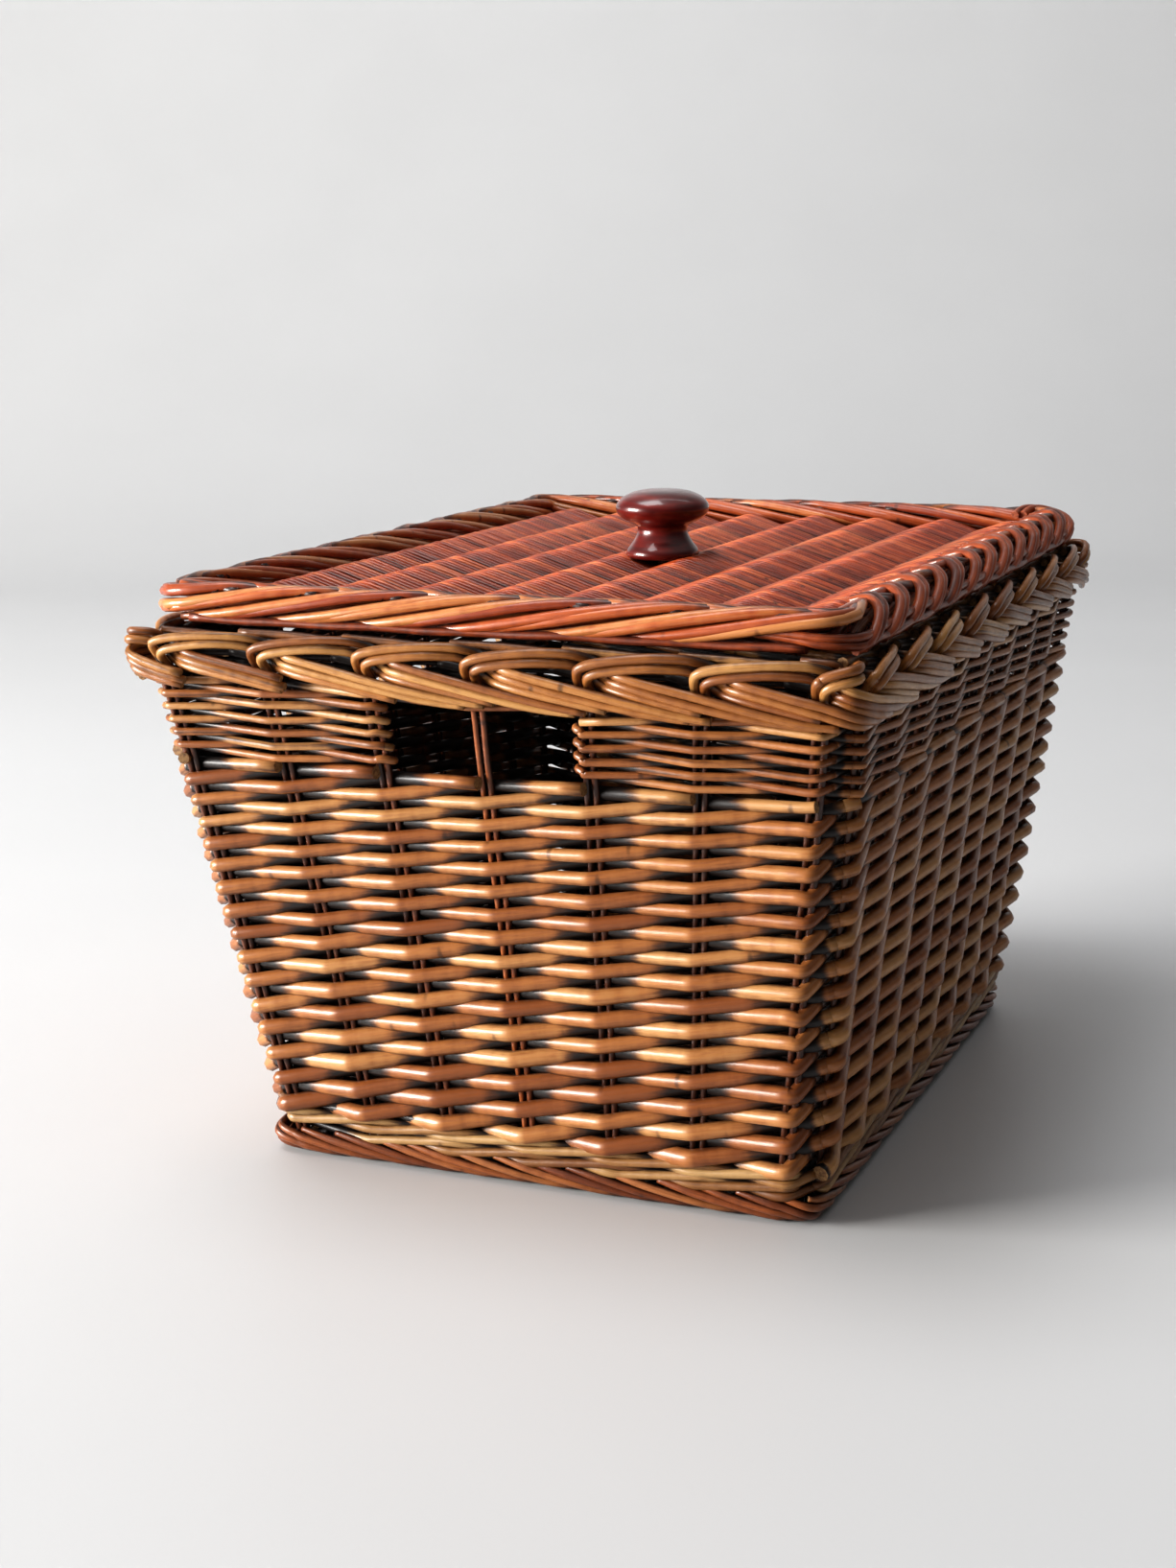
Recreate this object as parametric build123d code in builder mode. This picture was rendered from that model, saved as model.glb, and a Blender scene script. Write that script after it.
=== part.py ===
from build123d import *
import os

# Oblong wicker basket with a lift-off lid, standing on its foot border.
# X is the width, Y the length, Z is up, and the origin is the middle of the underside.
# The front wall, with one of the two finger holes, faces -Y. All sizes are in millimetres.
# Woven work is a closed plate with the true outer shape. The willow rods that it is woven
# on, the stakes of the walls and the sticks of the base and the lid, lie inside the plates.

# ---- Basket, outside ----
TOP_WIDTH = 330.0  # over the top border
TOP_LENGTH = 440.0
BASE_WIDTH = 264.0  # over the weave, at the table
BASE_LENGTH = 336.0
BASKET_HEIGHT = 252.0  # to the crest of the top border

# ---- Walls, from the table up ----
WALL = 12.0  # thickness of the weave
FOOT_HEIGHT = 11.0
FOOT_DEPTH = 18.0  # from its outer face in, so that it carries the edge of the base
FOOT_INSET = 1.5  # how far it stands in from the weave
WALING_HEIGHT = 14.0
WALING_PROUD = 1.5  # how far it stands out from the weave, outside and inside
BORDER_HEIGHT = 27.0
BORDER_DEPTH = 22.0
BORDER_PROUD = 2.2  # how far it stands out from the weave below it
HOLE_WIDTH = 90.0  # the finger holes, high in the front and rear walls
HOLE_HEIGHT = 31.0

# ---- Stakes: thin upright rods in pairs ----
STAKE_RADIUS = 1.5
PAIR_PITCH = 4.0  # between the two rods of a pair
FRONT_PAIRS = 7
SIDE_PAIRS = 9
FRONT_CORNER_INSET = 17.0  # from the wall's end to the middle of its last pair
SIDE_CORNER_INSET = 20.0
STAKE_FOOT = 3.0  # height of the lower end, inside the foot border
STAKE_BURIED = 6.0  # depth of the upper end below the border's crest

# ---- Base ----
BASE_THICKNESS = 10.0
BASE_STICK_RADIUS = 3.5
BASE_STICKS = 6
BASE_STICK_PITCH = 38.0

# ---- Lid ----
LID_GAP = 0.3  # between the lid's edge and the top border that it rests on
LID_WIDTH = 319.0
LID_LENGTH = 420.0
LID_EDGE_HEIGHT = 20.0
LID_EDGE_DEPTH = 18.0
LID_PANEL = 7.0  # thickness of the weave between its sticks
LID_PANEL_RAISE = 0.9  # panel's underside above the edge's underside
LID_STICK_RADIUS = 2.5
LID_STICKS = 8
LID_STICK_PITCH = 36.5
LID_RIDGE_RADIUS = 5.0  # weave over each stick
LID_STICK_BURIED = 8.0  # how far the sticks run into the front and rear edges

# ---- Knob: turned wood, held by a screw and a washer from under the lid ----
KNOB_HEIGHT = 33.0
KNOB_CAP_RADIUS = 22.5
KNOB_NECK_RADIUS = 13.0
KNOB_BASE_RADIUS = 17.5
KNOB_BEAD = 2.6  # height of the widest ring of the base
KNOB_BEAD_PROUD = 1.0  # how far that ring stands out from the base's two edges
KNOB_NECK_Z = 15.5
KNOB_RIM_Z = 23.5
SCREW_RADIUS = 2.0
SCREW_HEAD_RADIUS = 4.2
SCREW_HEAD_HEIGHT = 2.6
SCREW_IN_KNOB = 18.0
WASHER_RADIUS = 8.0
WASHER_THICKNESS = 1.2

# ---- Roundings ----
BORDER_ROUND = 8.0
BORDER_EDGE = 4.0
FOOT_EDGE = 3.0
LID_EDGE_ROUND = 7.0

# ---- Sizes that follow from the ones above ----
RIM_WIDTH = TOP_WIDTH - 2 * BORDER_PROUD  # over the weave, just below the top border
RIM_LENGTH = TOP_LENGTH - 2 * BORDER_PROUD
WALING_TOP = FOOT_HEIGHT + WALING_HEIGHT
BORDER_BOTTOM = BASKET_HEIGHT - BORDER_HEIGHT
HOLE_BOTTOM = BORDER_BOTTOM - HOLE_HEIGHT
STAKE_TOP = BASKET_HEIGHT - STAKE_BURIED
LID_Z = BASKET_HEIGHT + LID_GAP
LID_PANEL_Z = LID_Z + LID_PANEL_RAISE
LID_STICK_Z = LID_PANEL_Z + LID_PANEL / 2
KNOB_Z = LID_STICK_Z + LID_RIDGE_RADIUS
KNOB_UNDERSIDE = (KNOB_BASE_RADIUS - KNOB_BEAD_PROUD, 0)
KNOB_RING = (KNOB_BASE_RADIUS, KNOB_BEAD)
KNOB_RING_TOP = (KNOB_BASE_RADIUS - KNOB_BEAD_PROUD, 2 * KNOB_BEAD)
KNOB_NECK = (KNOB_NECK_RADIUS, KNOB_NECK_Z)
KNOB_RIM = (KNOB_CAP_RADIUS, KNOB_RIM_Z)
WASHER_Z = LID_PANEL_Z - WASHER_THICKNESS

# Directions of the knob's outline
STRAIGHT_UP = (0, 1)
INWARD = (-1, 0)
KNOB_OUT_OF_RING = (-0.6, 0.8)
KNOB_OUT_OF_NECK = (0.4, 0.9)

BOTTOM_UP = (Align.CENTER, Align.CENTER, Align.MIN)

os.makedirs("parts", exist_ok=True)


def finish(piece, label):
    """Labels a finished piece and writes its STEP file."""
    piece.part.label = label
    export_step(piece.part, f"parts/{label}.step")


def half_width(z):
    """Half the width over the weave at height z."""
    return (BASE_WIDTH + (RIM_WIDTH - BASE_WIDTH) * z / BORDER_BOTTOM) / 2


def half_length(z):
    """Half the length over the weave at height z."""
    return (BASE_LENGTH + (RIM_LENGTH - BASE_LENGTH) * z / BORDER_BOTTOM) / 2


def rod_plane(lower, upper):
    """A plane at the lower end of a straight rod, facing along it."""
    return Plane(origin=lower, z_dir=upper - lower)


def front_stake(share, side):
    """Ends of one rod of the front wall: share runs from -1 to 1 across it, side is -1 or 1."""
    ends = []
    for z in (STAKE_FOOT, STAKE_TOP):
        x = share * (half_width(z) - FRONT_CORNER_INSET) + side * PAIR_PITCH / 2
        ends.append(Vector(x, -half_length(z) + WALL / 2, z))
    return ends


def side_stake(share, side):
    """Ends of one rod of the right wall: share runs from -1 to 1 along it, side is -1 or 1."""
    ends = []
    for z in (STAKE_FOOT, STAKE_TOP):
        y = share * (half_length(z) - SIDE_CORNER_INSET) + side * PAIR_PITCH / 2
        ends.append(Vector(half_width(z) - WALL / 2, y, z))
    return ends


def shares(count):
    """Evenly spaced places from -1 to 1."""
    return [2 * index / (count - 1) - 1 for index in range(count)]


FRONT_MIDDLE = [front_stake(0, side) for side in (-1, 1)]
FRONT_OTHERS = [front_stake(share, side) for share in shares(FRONT_PAIRS) if share for side in (-1, 1)]
SIDE_RODS = [side_stake(share, side) for share in shares(SIDE_PAIRS) for side in (-1, 1)]


def rods(ends_of_rods):
    """A group of separate round rods."""
    with BuildPart() as group:
        for lower, upper in ends_of_rods:
            with Locations(rod_plane(lower, upper).location):
                Cylinder(STAKE_RADIUS, (upper - lower).length, align=BOTTOM_UP)
    return group


def front_plate(low, high, proud, stakes, left=None, right=None):
    """A plate of the front wall between two heights, with the channels of its stakes.
    It runs from corner to corner, or from left to right."""
    depth = WALL + 2 * proud
    with BuildPart() as plate:
        for z in (low, high):
            start = -half_width(z) - proud if left is None else left
            end = half_width(z) + proud if right is None else right
            with BuildSketch(Plane.XY.offset(z)):
                with Locations(((start + end) / 2, -half_length(z) + WALL / 2)):
                    Rectangle(end - start, depth)
        loft(ruled=True)
        for lower, upper in stakes:
            with Locations(rod_plane(lower, upper).location):
                Cylinder(STAKE_RADIUS, (upper - lower).length, align=BOTTOM_UP, mode=Mode.SUBTRACT)
    return plate


def side_plate(low, high, proud):
    """A plate of the right wall between two heights, from the front wall to the rear wall,
    with the channels of its stakes."""
    depth = WALL + 2 * proud
    with BuildPart() as plate:
        for z in (low, high):
            with BuildSketch(Plane.XY.offset(z)):
                with Locations((half_width(z) - WALL / 2, 0)):
                    Rectangle(depth, 2 * (half_length(z) - WALL - proud))
        loft(ruled=True)
        for lower, upper in SIDE_RODS:
            with Locations(rod_plane(lower, upper).location):
                Cylinder(STAKE_RADIUS, (upper - lower).length, align=BOTTOM_UP, mode=Mode.SUBTRACT)
    return plate


def bar(outline, low, high, stakes, along, top_round, low_round):
    """A level border bar with rounded long edges and the channels of its stakes."""
    with BuildPart() as piece:
        with BuildSketch(Plane.XY.offset(low)):
            with BuildLine():
                Polyline(outline, close=True)
            make_face()
        extrude(amount=high - low)
        long_edges = piece.edges().filter_by(along).group_by(Axis.Z)
        if top_round:
            fillet(long_edges[-1], radius=top_round)
        if low_round:
            fillet(long_edges[0], radius=low_round)
        for lower, upper in stakes:
            with Locations(rod_plane(lower, upper).location):
                Cylinder(STAKE_RADIUS, (upper - lower).length, align=BOTTOM_UP, mode=Mode.SUBTRACT)
    return piece


def front_outline(half_x, half_y, depth):
    """The front side of a ring of four bars that meet in mitres, seen from above."""
    inner_x, inner_y = half_x - depth, half_y - depth
    return [(-half_x, -half_y), (half_x, -half_y), (inner_x, -inner_y), (-inner_x, -inner_y)]


def right_outline(half_x, half_y, depth):
    """The right side of the same ring."""
    inner_x, inner_y = half_x - depth, half_y - depth
    return [(half_x, -half_y), (half_x, half_y), (inner_x, inner_y), (inner_x, -inner_y)]


def mirrored(piece, plane):
    """The same piece on the other side of the basket."""
    with BuildPart() as copy:
        add(mirror(piece.part, about=plane, mode=Mode.PRIVATE))
    return copy


def finish_front_and_rear(piece, front_label, rear_label):
    """Writes a piece of the front wall and its twin in the rear wall."""
    finish(piece, front_label)
    finish(mirrored(piece, Plane.XZ), rear_label)


def finish_right_and_left(piece, right_label, left_label):
    """Writes a piece of the right wall and its twin in the left wall."""
    finish(piece, right_label)
    finish(mirrored(piece, Plane.YZ), left_label)


# ---- Stakes ----
finish_front_and_rear(rods(FRONT_OTHERS), "front_stakes", "rear_stakes")
finish_front_and_rear(rods(FRONT_MIDDLE), "front_middle_stakes", "rear_middle_stakes")
finish_right_and_left(rods(SIDE_RODS), "right_stakes", "left_stakes")

# ---- Foot border: a ring of four bars under the walls and the edge of the base ----
foot_ring = (half_width(0) - FOOT_INSET, half_length(0) - FOOT_INSET, FOOT_DEPTH)
front_foot_border = bar(
    front_outline(*foot_ring), 0, FOOT_HEIGHT, FRONT_MIDDLE + FRONT_OTHERS, Axis.X, 0, FOOT_EDGE
)
finish_front_and_rear(front_foot_border, "front_foot_border", "rear_foot_border")
right_foot_border = bar(right_outline(*foot_ring), 0, FOOT_HEIGHT, SIDE_RODS, Axis.Y, 0, FOOT_EDGE)
finish_right_and_left(right_foot_border, "right_foot_border", "left_foot_border")

# ---- Waling: the stout twined courses above the foot ----
front_waling = front_plate(FOOT_HEIGHT, WALING_TOP, WALING_PROUD, FRONT_MIDDLE + FRONT_OTHERS)
finish_front_and_rear(front_waling, "front_waling", "rear_waling")
finish_right_and_left(side_plate(FOOT_HEIGHT, WALING_TOP, WALING_PROUD), "right_waling", "left_waling")

# ---- Weave of the walls; the front and rear walls are open at the finger holes ----
front_weave = front_plate(WALING_TOP, HOLE_BOTTOM, 0, FRONT_MIDDLE + FRONT_OTHERS)
finish_front_and_rear(front_weave, "front_weave", "rear_weave")
front_weave_beside_hole = front_plate(HOLE_BOTTOM, BORDER_BOTTOM, 0, FRONT_OTHERS, left=HOLE_WIDTH / 2)
finish_front_and_rear(front_weave_beside_hole, "front_upper_weave_right", "rear_upper_weave_right")
front_weave_other_side = mirrored(front_weave_beside_hole, Plane.YZ)
finish_front_and_rear(front_weave_other_side, "front_upper_weave_left", "rear_upper_weave_left")
finish_right_and_left(side_plate(WALING_TOP, BORDER_BOTTOM, 0), "right_weave", "left_weave")

# ---- Top border: the stakes' ends, plaited into a rim of four bars ----
top_ring = (TOP_WIDTH / 2, TOP_LENGTH / 2, BORDER_DEPTH)
front_top_border = bar(
    front_outline(*top_ring), BORDER_BOTTOM, BASKET_HEIGHT,
    FRONT_MIDDLE + FRONT_OTHERS, Axis.X, BORDER_ROUND, BORDER_EDGE,
)
finish_front_and_rear(front_top_border, "front_top_border", "rear_top_border")
right_top_border = bar(
    right_outline(*top_ring), BORDER_BOTTOM, BASKET_HEIGHT, SIDE_RODS, Axis.Y, BORDER_ROUND, BORDER_EDGE
)
finish_right_and_left(right_top_border, "right_top_border", "left_top_border")

# ---- Base: sticks along Y in a woven panel that lies on the foot border ----
base_half_width = half_width(FOOT_HEIGHT) - WALL - WALING_PROUD
base_half_length = half_length(FOOT_HEIGHT) - WALL - WALING_PROUD
base_middle = Plane.XZ.offset(-base_half_length)

with BuildPart() as base_sticks:
    with BuildSketch(base_middle):
        with Locations((0, FOOT_HEIGHT + BASE_THICKNESS / 2)):
            with GridLocations(BASE_STICK_PITCH, 0, BASE_STICKS, 1):
                Circle(BASE_STICK_RADIUS)
    extrude(amount=2 * base_half_length)
finish(base_sticks, "base_sticks")

with BuildPart() as base_weave:
    with BuildSketch(Plane.XY.offset(FOOT_HEIGHT)):
        Rectangle(2 * base_half_width, 2 * base_half_length)
    extrude(amount=BASE_THICKNESS)
    with BuildSketch(base_middle):
        with Locations((0, FOOT_HEIGHT + BASE_THICKNESS / 2)):
            with GridLocations(BASE_STICK_PITCH, 0, BASE_STICKS, 1):
                Circle(BASE_STICK_RADIUS)
    extrude(amount=2 * base_half_length, mode=Mode.SUBTRACT)
finish(base_weave, "base_weave")

# ---- Lid: sticks along Y, woven over and under, in an edge of four bars ----
panel_half_width = LID_WIDTH / 2 - LID_EDGE_DEPTH
panel_half_length = LID_LENGTH / 2 - LID_EDGE_DEPTH
stick_half_length = panel_half_length + LID_STICK_BURIED

with BuildPart() as lid_sticks:
    with BuildSketch(Plane.XZ.offset(-stick_half_length)):
        with Locations((0, LID_STICK_Z)):
            with GridLocations(LID_STICK_PITCH, 0, LID_STICKS, 1):
                Circle(LID_STICK_RADIUS)
    extrude(amount=2 * stick_half_length)
finish(lid_sticks, "lid_sticks")

with BuildPart() as lid_weave:
    with BuildSketch(Plane.XZ.offset(-panel_half_length)):
        with Locations((0, LID_STICK_Z)):
            Rectangle(2 * panel_half_width, LID_PANEL)
            with GridLocations(LID_STICK_PITCH, 0, LID_STICKS, 1):
                Circle(LID_RIDGE_RADIUS)
                Circle(LID_STICK_RADIUS, mode=Mode.SUBTRACT)
    extrude(amount=2 * panel_half_length)
    with Locations((0, 0, LID_PANEL_Z)):
        Cylinder(SCREW_RADIUS, LID_PANEL, align=BOTTOM_UP, mode=Mode.SUBTRACT)
finish(lid_weave, "lid_weave")

with BuildPart() as lid_front_edge:
    with BuildSketch(Plane.XY.offset(LID_Z)):
        with Locations((0, (LID_EDGE_DEPTH - LID_LENGTH) / 2)):
            Rectangle(LID_WIDTH, LID_EDGE_DEPTH)
    extrude(amount=LID_EDGE_HEIGHT)
    fillet(lid_front_edge.edges().filter_by(Axis.X), radius=LID_EDGE_ROUND)
    with BuildSketch(Plane.XZ.offset(panel_half_length)):
        with Locations((0, LID_STICK_Z)):
            with GridLocations(LID_STICK_PITCH, 0, LID_STICKS, 1):
                Circle(LID_STICK_RADIUS)
    extrude(amount=LID_STICK_BURIED, mode=Mode.SUBTRACT)
finish_front_and_rear(lid_front_edge, "lid_front_edge", "lid_rear_edge")

with BuildPart() as lid_right_edge:
    with BuildSketch(Plane.XY.offset(LID_Z)):
        with Locations(((LID_WIDTH - LID_EDGE_DEPTH) / 2, 0)):
            Rectangle(LID_EDGE_DEPTH, 2 * panel_half_length)
    extrude(amount=LID_EDGE_HEIGHT)
    fillet(lid_right_edge.edges().filter_by(Axis.Y), radius=LID_EDGE_ROUND)
finish_right_and_left(lid_right_edge, "lid_right_edge", "lid_left_edge")

# ---- Knob, with its screw and washer ----
with BuildPart() as knob:
    with BuildSketch(Plane.XZ):
        with BuildLine():
            Polyline((0, KNOB_HEIGHT), (0, 0), KNOB_UNDERSIDE)
            ThreePointArc(KNOB_UNDERSIDE, KNOB_RING, KNOB_RING_TOP)
            Spline(KNOB_RING_TOP, KNOB_NECK, tangents=(KNOB_OUT_OF_RING, STRAIGHT_UP))
            Spline(KNOB_NECK, KNOB_RIM, tangents=(KNOB_OUT_OF_NECK, STRAIGHT_UP))
            Spline(KNOB_RIM, (0, KNOB_HEIGHT), tangents=(STRAIGHT_UP, INWARD))
        make_face()
    revolve(axis=Axis.Z)
    Cylinder(SCREW_RADIUS, SCREW_IN_KNOB, align=BOTTOM_UP, mode=Mode.SUBTRACT)
knob.part.position = (0, 0, KNOB_Z)
finish(knob, "knob")

with BuildPart() as knob_washer:
    with BuildSketch(Plane.XY.offset(WASHER_Z)):
        Circle(WASHER_RADIUS)
        Circle(SCREW_RADIUS, mode=Mode.SUBTRACT)
    extrude(amount=WASHER_THICKNESS)
finish(knob_washer, "knob_washer")

with BuildPart() as knob_screw:
    with BuildSketch(Plane.XY.offset(WASHER_Z - SCREW_HEAD_HEIGHT)):
        Circle(SCREW_HEAD_RADIUS)
    extrude(amount=SCREW_HEAD_HEIGHT)
    fillet(knob_screw.edges().group_by(Axis.Z)[0], radius=SCREW_HEAD_HEIGHT / 2)
    with BuildSketch(Plane.XY.offset(WASHER_Z)):
        Circle(SCREW_RADIUS)
    extrude(amount=KNOB_Z + SCREW_IN_KNOB - WASHER_Z)
finish(knob_screw, "knob_screw")
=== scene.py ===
import math

import bpy
import numpy as np
from mathutils import Matrix, Vector


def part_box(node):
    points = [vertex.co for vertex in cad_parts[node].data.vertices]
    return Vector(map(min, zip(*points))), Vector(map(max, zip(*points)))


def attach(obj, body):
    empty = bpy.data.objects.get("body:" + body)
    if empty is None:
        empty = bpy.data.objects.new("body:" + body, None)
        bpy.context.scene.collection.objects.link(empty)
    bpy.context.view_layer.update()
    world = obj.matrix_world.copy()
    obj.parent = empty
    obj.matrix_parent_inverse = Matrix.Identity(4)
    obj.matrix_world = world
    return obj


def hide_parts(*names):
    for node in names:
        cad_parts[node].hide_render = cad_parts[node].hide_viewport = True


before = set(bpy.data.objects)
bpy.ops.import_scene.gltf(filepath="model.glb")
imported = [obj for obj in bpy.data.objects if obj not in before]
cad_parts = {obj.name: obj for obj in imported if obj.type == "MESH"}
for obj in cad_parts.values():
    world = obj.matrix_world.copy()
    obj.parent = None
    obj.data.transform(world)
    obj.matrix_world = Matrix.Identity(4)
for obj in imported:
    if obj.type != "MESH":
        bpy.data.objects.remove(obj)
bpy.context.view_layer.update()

# A wicker basket with a lift-off lid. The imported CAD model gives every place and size, and
# each woven node is rebuilt here from round willow rods. Lengths are in millimetres until a
# mesh is made. Stakes stand in pairs and are counted anticlockwise from the front left corner.
# "u" is a place along the walls in stakes, "v" is how far out of the wall's middle a point
# lies, and "z" is its height.

MM = 0.001
chance = np.random.default_rng(41)


def box_mm(node):
    """Lowest and highest corner of a CAD node, in millimetres."""
    low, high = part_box(node)
    return np.array(low) / MM, np.array(high) / MM


# ---- Sizes read from the frame ----
rim_low, rim_high = box_mm("front_top_border")
hole_low, hole_high = box_mm("front_upper_weave_right")
waling_low, waling_high = box_mm("front_waling")
front_low, front_high = box_mm("front_stakes")
right_low, right_high = box_mm("right_stakes")
middle_low, middle_high = box_mm("front_middle_stakes")
lid_front_low, lid_front_high = box_mm("lid_front_edge")
lid_right_low, lid_right_high = box_mm("lid_right_edge")
panel_low, panel_high = box_mm("lid_weave")
lid_sticks_low, lid_sticks_high = box_mm("lid_sticks")
base_low, base_high = box_mm("base_weave")
base_sticks_low, base_sticks_high = box_mm("base_sticks")
knob_low, knob_high = box_mm("knob")

CREST = rim_high[2]
STAKE_R = 1.5
PAIR_HALF = (middle_high[0] - middle_low[0]) / 2 - STAKE_R
STAKE_Z = (front_low[2], front_high[2])
WALL_X = (right_low[0] + STAKE_R, right_high[0] - STAKE_R)  # middle of the side walls, low and high
WALL_Y = (-front_high[1] + STAKE_R, -front_low[1] - STAKE_R)  # middle of the end walls
FRONT_INSET = WALL_X[1] - (front_high[0] - STAKE_R - PAIR_HALF)
SIDE_INSET = WALL_Y[1] - (right_high[1] - STAKE_R - PAIR_HALF)
END_PAIRS, SIDE_PAIRS = 7, 9
STAKES = 2 * (END_PAIRS + SIDE_PAIRS)
WALLS = ("front", "right", "rear", "left")
PAIRS_IN_WALL = (END_PAIRS, SIDE_PAIRS, END_PAIRS, SIDE_PAIRS)
WALL_FIRST = np.cumsum((0,) + PAIRS_IN_WALL[:3])  # first stake of each wall
LAST_IN_WALL = WALL_FIRST + PAIRS_IN_WALL - 1
OUTWARD = np.array(((0, -1), (1, 0), (0, 1), (-1, 0)), float)
HOLE_EDGES = ((4, 18), (20, 34))  # stakes between which the weave runs beside the finger holes


# ---- Places on the walls ----
def stake_rows():
    """For each stake: its share and inset across the width, and along the length."""
    rows = []
    for wall, count in enumerate(PAIRS_IN_WALL):
        sign = 1 if wall < 2 else -1
        for index in range(count):
            share = sign * (2 * index / (count - 1) - 1)
            if wall % 2 == 0:
                rows.append((share, FRONT_INSET, -sign, 0))
            else:
                rows.append((sign, 0, share, SIDE_INSET))
    return np.array(rows)


STAKE_TABLE = stake_rows()


def stake_place(index, z):
    """X and Y of stakes at height z."""
    grade = (z - STAKE_Z[0]) / (STAKE_Z[1] - STAKE_Z[0])
    half_x = WALL_X[0] + (WALL_X[1] - WALL_X[0]) * grade
    half_y = WALL_Y[0] + (WALL_Y[1] - WALL_Y[0]) * grade
    share_x, inset_x, share_y, inset_y = STAKE_TABLE[index % STAKES].T
    return np.stack([share_x * (half_x - inset_x), share_y * (half_y - inset_y)], -1)


def wall_of(index):
    """Number of the wall that a stake stands in."""
    return np.searchsorted(WALL_FIRST, index % STAKES, side="right") - 1


def beside(index, along, out, z):
    """Points near stakes, in millimetres along the wall and out of it."""
    index, along, out, z = np.broadcast_arrays(index, along, out, z)
    outward = OUTWARD[wall_of(index)]
    onward = np.stack([-outward[:, 1], outward[:, 0]], -1)
    place = stake_place(index, z) + along[:, None] * onward + out[:, None] * outward
    return np.column_stack([place, z])


def softened(t):
    """Close to t where it is positive and to 0 where it is negative."""
    softness = 0.4
    return (t + np.sqrt(t * t + softness**2)) / (1 + math.sqrt(1 + softness**2))


def wall_points(u, v, z):
    """Points of the walls, whose corners are square with a small rounding."""
    u, v, z = np.broadcast_arrays(*(np.asarray(a, float) for a in (u, v, z)))
    index = np.floor(u).astype(int)
    share = (u - index)[:, None]
    here = stake_place(index, z)
    step = stake_place(index + 1, z) - here
    v = v[:, None]
    outward = OUTWARD[wall_of(index)]
    straight = here + step * share + v * outward
    turned = OUTWARD[wall_of(index + 1)]
    before = (step * turned).sum(1)[:, None]
    after = -(step * outward).sum(1)[:, None]
    corner = here + before * turned
    bent = corner + v * (outward + turned) - turned * (before + v) * softened(1 - 2 * share)
    bent = bent - outward * (after + v) * softened(2 * share - 1)
    at_corner = (wall_of(index) != wall_of(index + 1))[:, None]
    return np.column_stack([np.where(at_corner, bent, straight), z])


def smooth_step(x):
    x = np.clip(x, 0, 1)
    return x * x * (3 - 2 * x)


# ---- Rods ----
def sweep(points, radii, sides):
    """Rings of a round rod along a path, carried along it without twist."""
    tangents = np.gradient(points, axis=0)
    tangents /= np.linalg.norm(tangents, axis=1)[:, None]
    normals = np.empty_like(points)
    guide = np.array((0.0, 0.0, 1.0)) if abs(tangents[0][2]) < 0.8 else np.array((1.0, 0.0, 0.0))
    for index, tangent in enumerate(tangents):
        guide = guide - tangent * guide.dot(tangent)
        guide = guide / math.sqrt(guide.dot(guide))
        normals[index] = guide
    others = np.cross(tangents, normals)
    angles = (2 * math.pi * np.arange(sides) / sides)[None, :, None]
    ring = np.cos(angles) * normals[:, None] + np.sin(angles) * others[:, None]
    return points[:, None] + ring * radii[:, None, None]


def spread(control, per_span=5):
    """A smooth curve through control points, given as rows of any kind of coordinates."""
    control = np.asarray(control, float)
    padded = np.vstack([2 * control[0] - control[1], control, 2 * control[-1] - control[-2]])
    t = np.arange(per_span)[:, None] / per_span
    spans = []
    for a, b, c, d in zip(padded, padded[1:], padded[2:], padded[3:]):
        cubic = 3 * b - a - 3 * c + d
        square = 2 * a - 5 * b + 4 * c - d
        spans.append(b + (t * (c - a) + t**2 * square + t**3 * cubic) / 2)
    return np.vstack(spans + [control[-1:]])


def kinked(control, bend):
    """Straight limbs between control rows, with each corner rounded over a length of about
    bend. A row starts with x, y and z, and what follows is carried along."""
    before, at, after = control[:-2], control[1:-1], control[2:]

    def toward(other):
        length = np.linalg.norm((other - at)[:, :3], axis=1)[:, None]
        return at + (other - at) * np.minimum(bend / length, 0.4)

    start, end = toward(before), toward(after)
    t = np.array((0, 1 / 3, 2 / 3, 1))[None, :, None]
    corners = (1 - t) ** 2 * start[:, None] + 2 * t * (1 - t) * at[:, None] + t**2 * end[:, None]
    limb_start, limb_end = np.vstack([control[:1], end]), np.vstack([start, control[-1:]])
    t = np.array((0.25, 0.5, 0.75))[None, :, None]
    limbs = limb_start[:, None] + (limb_end - limb_start)[:, None] * t
    inner = np.concatenate([corners, limbs[1:]], axis=1).reshape(-1, control.shape[1])
    return np.vstack([control[:1], limbs[0], inner, control[-1:]])


def waviness(u, size):
    """A slow unevenness along a rod."""
    phases = 2 * math.pi * chance.random(3)
    return size * sum(np.sin(u * f + p) for f, p in zip((0.9, 2.1, 4.3), phases)) / 2


class Bundle:
    """Rods that make one piece. They are darker along the lines where the rods touch their
    neighbours, partly from stain gathered there and partly from painted shade: the first argument is how much, and
    touching is the angle of those lines from the top."""

    def __init__(self, touch_stain_and_shade=0.75, touching=0.0):
        self.rods = []
        self.touch_stain_and_shade = touch_stain_and_shade
        self.touching = touching

    def add(self, points, radius, stain_and_shade=0.0, tone=None, sides=8, rings=None):
        """Adds a rod. Its darkness, from 0 to 1, is stain and painted shade together, and tone picks its own colour,
        which on weavers and panel rods also holds painted light and shade on their two limbs.
        """
        count = len(points)
        radii = np.broadcast_to(np.asarray(radius, float), count)
        rings = sweep(points, radii, sides) if rings is None else rings
        stain_and_shade = np.broadcast_to(np.asarray(stain_and_shade, float), count)
        tone = chance.random() if tone is None else tone
        steps = np.linalg.norm(np.diff(points, axis=0), axis=1)
        along = np.concatenate([[0], np.cumsum(steps)]) + 1000 * chance.random()
        self.rods.append((rings, stain_and_shade, np.broadcast_to(tone, count), along))


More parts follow.
